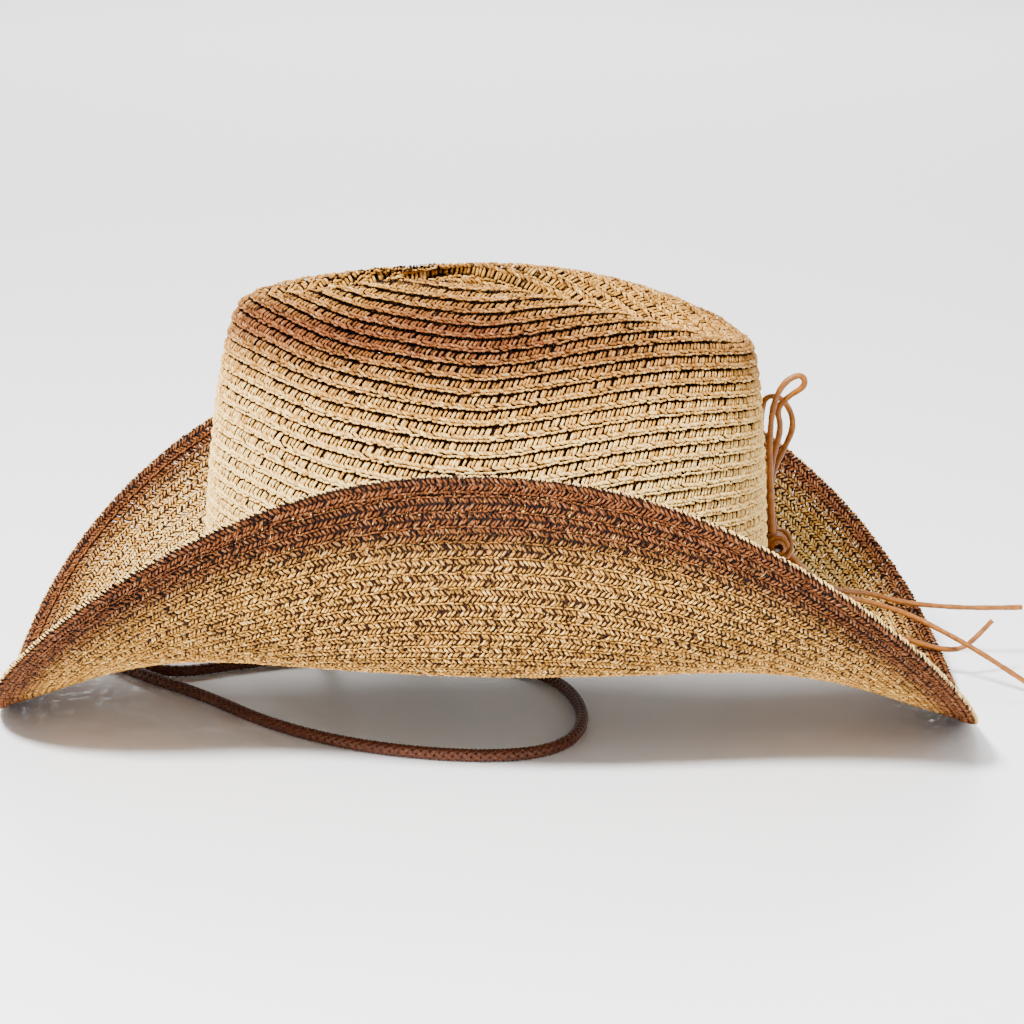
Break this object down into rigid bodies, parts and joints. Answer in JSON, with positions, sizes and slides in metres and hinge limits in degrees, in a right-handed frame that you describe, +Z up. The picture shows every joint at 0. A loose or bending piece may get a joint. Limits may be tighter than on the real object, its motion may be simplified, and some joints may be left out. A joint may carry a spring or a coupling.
{
  "type": "cowboy hat",
  "caption": "Sewn straw cowboy hat with a pinched crown, rolled side brims, a lace band tied in a bow at the back and a braided chin cord with a sliding keeper.",
  "frame": {"origin": "centre of the footprint on the surface the hat rests on, with the front and back brim tips touching it", "axes": "+Z up; +X from the front of the hat to the bow at the back; -Y the wearer's right side"},
  "size_m": [0.3928, 0.238, 0.1648],
  "materials": {
    "straw_braid": "sewn braided paper straw, cream to golden, sprayed mauve brown on the ridges",
    "hem_braid": "doubled straw braid sprayed mauve brown",
    "band_cloth": "matt woven cotton",
    "lace_leather": "tan round-cut lace, slightly glossy",
    "cord_braid": "dark reddish brown braid, satin",
    "keeper_leather": "dark brown, satin"
  },
  "bodies": {
    "hat": {"crown": "straw_braid", "brim": "straw_braid", "brim_hem": "hem_braid", "sweatband": "band_cloth", "hat_lace": "lace_leather", "bow_knot": "lace_leather", "bow_loop_tall": "lace_leather", "bow_loop_low": "lace_leather", "bow_tail_long": "lace_leather", "bow_tail_drooping": "lace_leather", "bow_tail_hooked": "lace_leather", "chin_cord_loop": "cord_braid", "chin_cord_near": "cord_braid", "chin_cord_far": "cord_braid", "cord_anchor_near": "cord_braid", "cord_anchor_far": "cord_braid"},
    "keeper": {"cord_keeper": "keeper_leather"}
  },
  "joints": [
    {"name": "keeper_slide", "type": "slide", "parent": "hat", "child": "keeper", "axis": [1, 0, 0], "range_m": [-0.005, 0.005]}
  ]
}
